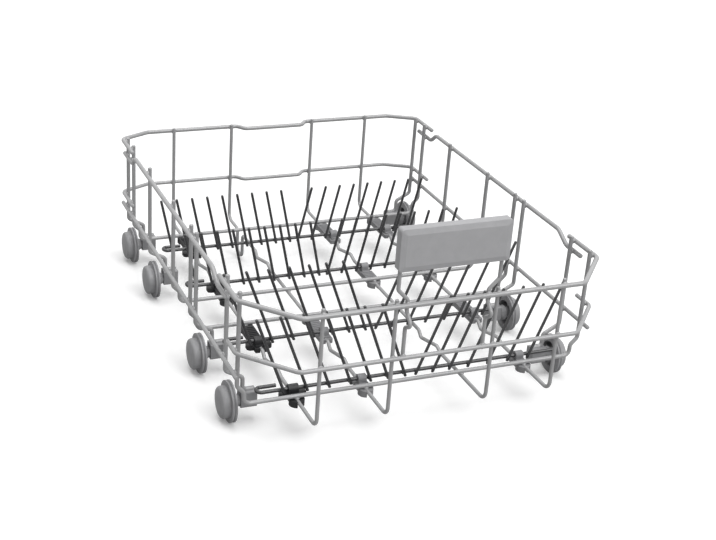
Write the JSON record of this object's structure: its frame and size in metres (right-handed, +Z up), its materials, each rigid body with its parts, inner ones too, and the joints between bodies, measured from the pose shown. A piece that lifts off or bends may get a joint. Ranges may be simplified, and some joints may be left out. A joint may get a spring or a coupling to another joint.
{
  "type": "dishwasher basket",
  "caption": "Lower wire basket of a narrow dishwasher, on wheels, with fold-down tine rows and a raised front grip, for holding dishes.",
  "frame": {"origin": "middle of the footprint, on the floor under the wheels", "axes": "+X across to the right seen from the front, +Y to the rear, +Z up"},
  "size_m": [0.4, 0.5331, 0.2386],
  "materials": {
    "coated_wire": "satin nylon coating",
    "tine_wire": "satin nylon coating",
    "wheel_plastic": "matte",
    "bracket_plastic": "matte",
    "clip_plastic": "matte",
    "latch_plastic": "matte",
    "grip_plastic": "matte"
  },
  "bodies": {
    "basket": {"clip_a_1": "latch_plastic", "clip_a_3": "clip_plastic", "clip_a_4": "clip_plastic", "clip_b_1": "latch_plastic", "clip_b_3": "clip_plastic", "clip_b_4": "clip_plastic", "clip_c_1": "latch_plastic", "clip_c_2": "clip_plastic", "clip_c_4": "clip_plastic", "clip_d_1": "latch_plastic", "clip_d_2": "clip_plastic", "clip_d_4": "clip_plastic", "cross_wire_1": "coated_wire", "cross_wire_2": "coated_wire", "cross_wire_3": "coated_wire", "cross_wire_4": "coated_wire", "front_mid_rail": "coated_wire", "front_top_rail": "coated_wire", "handle_frame": "coated_wire", "handle_grip": "grip_plastic", "long_wire_1": "coated_wire", "long_wire_2": "coated_wire", "long_wire_3": "coated_wire", "long_wire_4": "coated_wire", "rear_mid_rail": "coated_wire", "rear_top_rail": "coated_wire", "side_mid_rail_left": "coated_wire", "side_mid_rail_right": "coated_wire", "side_top_rail_left": "coated_wire", "side_top_rail_right": "coated_wire", "wheel_bracket_left_1": "bracket_plastic", "wheel_bracket_left_2": "bracket_plastic", "wheel_bracket_left_3": "bracket_plastic", "wheel_bracket_left_4": "bracket_plastic", "wheel_bracket_right_1": "bracket_plastic", "wheel_bracket_right_2": "bracket_plastic", "wheel_bracket_right_3": "bracket_plastic", "wheel_bracket_right_4": "bracket_plastic", "wheel_post_left_1": "coated_wire", "wheel_post_left_2": "coated_wire", "wheel_post_left_3": "coated_wire", "wheel_post_left_4": "coated_wire", "wheel_post_right_1": "coated_wire", "wheel_post_right_2": "coated_wire", "wheel_post_right_3": "coated_wire", "wheel_post_right_4": "coated_wire"},
    "row_a": {"tine_row_a": "tine_wire"},
    "row_b": {"tine_row_b": "tine_wire"},
    "row_c": {"tine_row_c": "tine_wire"},
    "row_d": {"tine_row_d": "tine_wire"},
    "roller_left_1": {"wheel_left_1": "wheel_plastic"},
    "roller_right_1": {"wheel_right_1": "wheel_plastic"},
    "roller_left_2": {"wheel_left_2": "wheel_plastic"},
    "roller_right_2": {"wheel_right_2": "wheel_plastic"},
    "roller_left_3": {"wheel_left_3": "wheel_plastic"},
    "roller_right_3": {"wheel_right_3": "wheel_plastic"},
    "roller_left_4": {"wheel_left_4": "wheel_plastic"},
    "roller_right_4": {"wheel_right_4": "wheel_plastic"}
  },
  "joints": [
    {"name": "row_a_fold", "type": "hinge", "parent": "basket", "child": "row_a", "pos_m": [0, 0.166, 0.04208], "axis": [-1, 0, 0], "range_deg": [0, 85]},
    {"name": "row_b_fold", "type": "hinge", "parent": "basket", "child": "row_b", "pos_m": [0, 0.064, 0.04208], "axis": [-1, 0, 0], "range_deg": [0, 85]},
    {"name": "row_c_fold", "type": "hinge", "parent": "basket", "child": "row_c", "pos_m": [0, -0.081, 0.04208], "axis": [-1, 0, 0], "range_deg": [0, 85]},
    {"name": "row_d_fold", "type": "hinge", "parent": "basket", "child": "row_d", "pos_m": [0, -0.187, 0.04208], "axis": [-1, 0, 0], "range_deg": [0, 85]},
    {"name": "wheel_left_1_spin", "type": "hinge", "parent": "basket", "child": "roller_left_1", "pos_m": [-0.192, 0.237, 0.022], "axis": [1, 0, 0], "continuous": true},
    {"name": "wheel_right_1_spin", "type": "hinge", "parent": "basket", "child": "roller_right_1", "pos_m": [0.192, 0.237, 0.022], "axis": [1, 0, 0], "continuous": true},
    {"name": "wheel_left_2_spin", "type": "hinge", "parent": "basket", "child": "roller_left_2", "pos_m": [-0.192, 0.1335, 0.022], "axis": [1, 0, 0], "continuous": true},
    {"name": "wheel_right_2_spin", "type": "hinge", "parent": "basket", "child": "roller_right_2", "pos_m": [0.192, 0.1335, 0.022], "axis": [1, 0, 0], "continuous": true},
    {"name": "wheel_left_3_spin", "type": "hinge", "parent": "basket", "child": "roller_left_3", "pos_m": [-0.192, -0.057, 0.022], "axis": [1, 0, 0], "continuous": true},
    {"name": "wheel_right_3_spin", "type": "hinge", "parent": "basket", "child": "roller_right_3", "pos_m": [0.192, -0.057, 0.022], "axis": [1, 0, 0], "continuous": true},
    {"name": "wheel_left_4_spin", "type": "hinge", "parent": "basket", "child": "roller_left_4", "pos_m": [-0.192, -0.162, 0.022], "axis": [1, 0, 0], "continuous": true},
    {"name": "wheel_right_4_spin", "type": "hinge", "parent": "basket", "child": "roller_right_4", "pos_m": [0.192, -0.162, 0.022], "axis": [1, 0, 0], "continuous": true}
  ]
}
